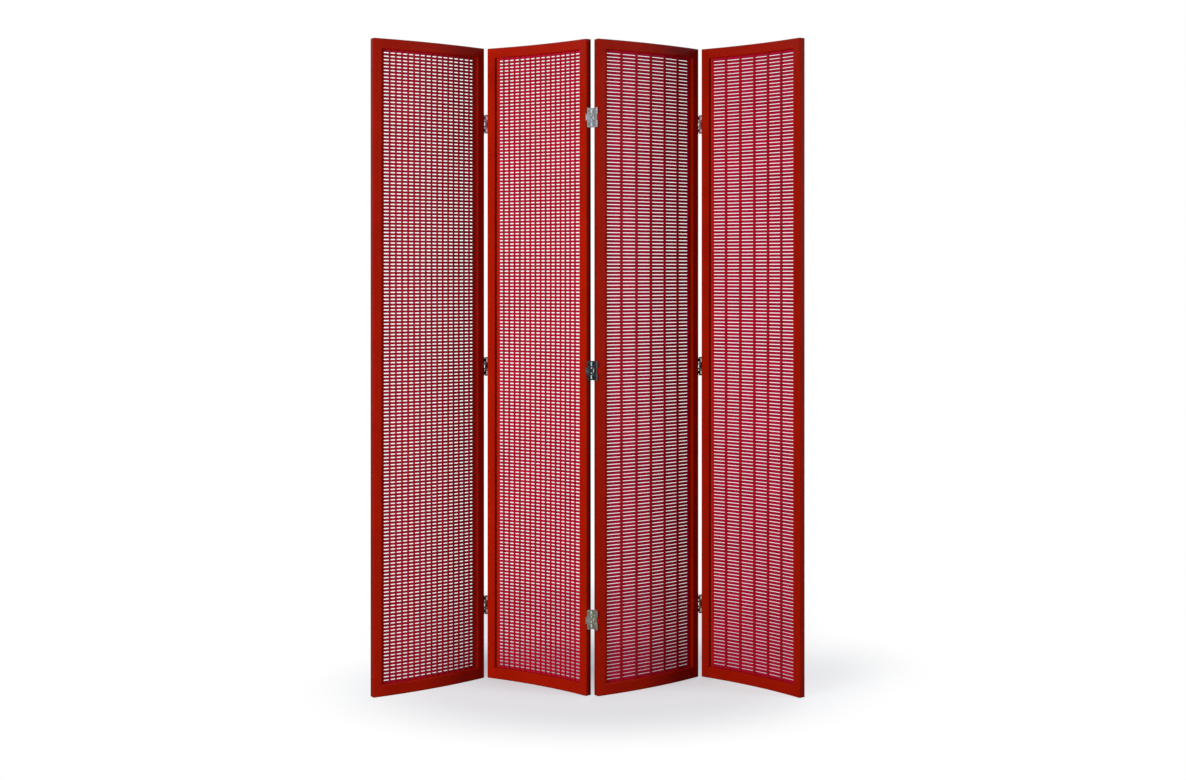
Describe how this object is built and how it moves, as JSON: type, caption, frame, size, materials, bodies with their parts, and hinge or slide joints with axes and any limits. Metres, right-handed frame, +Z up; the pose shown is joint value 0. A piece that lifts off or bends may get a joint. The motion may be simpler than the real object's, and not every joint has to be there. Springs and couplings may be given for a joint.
{
  "type": "folding screen",
  "caption": "Tall folding screen of bowed, slatted wood panels in slim frames, standing in a zigzag on double-acting hinges.",
  "frame": {"origin": "on the floor, at the middle of the space that the standing screen takes up", "axes": "+X to the right along the standing screen, +Y from its front to its back, +Z up"},
  "size_m": [1.1528, 0.2662, 1.75],
  "materials": {
    "frame_wood": "red-brown satin lacquer",
    "slat_wood": "red-brown satin lacquer",
    "rib_wood": "red-brown satin lacquer",
    "hinge_metal": "satin plated steel",
    "pin_metal": "plain steel"
  },
  "bodies": {
    "panel_1": {"panel_1_left_stile": "frame_wood", "panel_1_right_stile": "frame_wood", "panel_1_top_rail": "frame_wood", "panel_1_bottom_rail": "frame_wood", "panel_1_slat_board": "slat_wood", "panel_1_ribs": "rib_wood", "hinge_12_left_leaves": "hinge_metal", "hinge_12_left_screws": "pin_metal", "hinge_12_left_still_pins": "pin_metal", "hinge_12_axis_pins": "pin_metal", "hinge_12_outer_links": "hinge_metal"},
    "panel_2": {"panel_2_left_stile": "frame_wood", "panel_2_right_stile": "frame_wood", "panel_2_top_rail": "frame_wood", "panel_2_bottom_rail": "frame_wood", "panel_2_slat_board": "slat_wood", "panel_2_ribs": "rib_wood", "hinge_12_right_leaves": "hinge_metal", "hinge_12_right_screws": "pin_metal", "hinge_12_right_still_pins": "pin_metal", "hinge_12_middle_links": "hinge_metal", "hinge_23_left_leaves": "hinge_metal", "hinge_23_left_screws": "pin_metal", "hinge_23_left_still_pins": "pin_metal", "hinge_23_axis_pins": "pin_metal", "hinge_23_middle_links": "hinge_metal"},
    "panel_3": {"panel_3_left_stile": "frame_wood", "panel_3_right_stile": "frame_wood", "panel_3_top_rail": "frame_wood", "panel_3_bottom_rail": "frame_wood", "panel_3_slat_board": "slat_wood", "panel_3_ribs": "rib_wood", "hinge_23_right_leaves": "hinge_metal", "hinge_23_right_screws": "pin_metal", "hinge_23_right_still_pins": "pin_metal", "hinge_23_outer_links": "hinge_metal", "hinge_34_left_leaves": "hinge_metal", "hinge_34_left_screws": "pin_metal", "hinge_34_left_still_pins": "pin_metal", "hinge_34_axis_pins": "pin_metal", "hinge_34_outer_links": "hinge_metal"},
    "panel_4": {"panel_4_left_stile": "frame_wood", "panel_4_right_stile": "frame_wood", "panel_4_top_rail": "frame_wood", "panel_4_bottom_rail": "frame_wood", "panel_4_slat_board": "slat_wood", "panel_4_ribs": "rib_wood", "hinge_34_right_leaves": "hinge_metal", "hinge_34_right_screws": "pin_metal", "hinge_34_right_still_pins": "pin_metal", "hinge_34_middle_links": "hinge_metal"}
  },
  "joints": [
    {"name": "fold_12", "type": "hinge", "parent": "panel_1", "child": "panel_2", "pos_m": [-0.28956, 0.09977, 0.875], "axis": [0, 0, 1], "range_deg": [-102.2, 76.8]},
    {"name": "fold_23", "type": "hinge", "parent": "panel_2", "child": "panel_3", "pos_m": [0.01296, -0.10011, 0.875], "axis": [0, 0, 1], "range_deg": [-76.3, 102.2]},
    {"name": "fold_34", "type": "hinge", "parent": "panel_3", "child": "panel_4", "pos_m": [0.30647, 0.11278, 0.875], "axis": [0, 0, 1], "range_deg": [-96.3, 83.7]}
  ]
}
